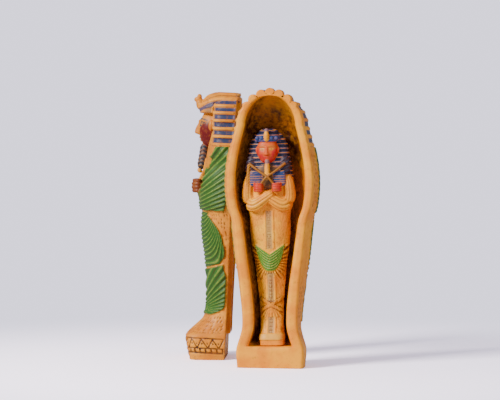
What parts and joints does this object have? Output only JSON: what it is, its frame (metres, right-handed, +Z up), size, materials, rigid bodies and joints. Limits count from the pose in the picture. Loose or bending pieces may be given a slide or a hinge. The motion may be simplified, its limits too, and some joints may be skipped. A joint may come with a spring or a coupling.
{
  "type": "figurine",
  "caption": "Painted resin souvenir of an Egyptian coffin: an open case with a small mummy standing in it, and the lid standing behind.",
  "frame": {"origin": "middle of the case's flat underside", "axes": "+Z up along the case, -Y out of the case's open front, +X to the viewer's right"},
  "size_m": [0.0825, 0.0781, 0.1496],
  "materials": {
    "case_resin": "satin",
    "lid_resin": "satin",
    "mummy_resin": "satin"
  },
  "bodies": {
    "root": {"case": "case_resin", "lid": "lid_resin", "mummy": "mummy_resin"}
  },
  "joints": []
}
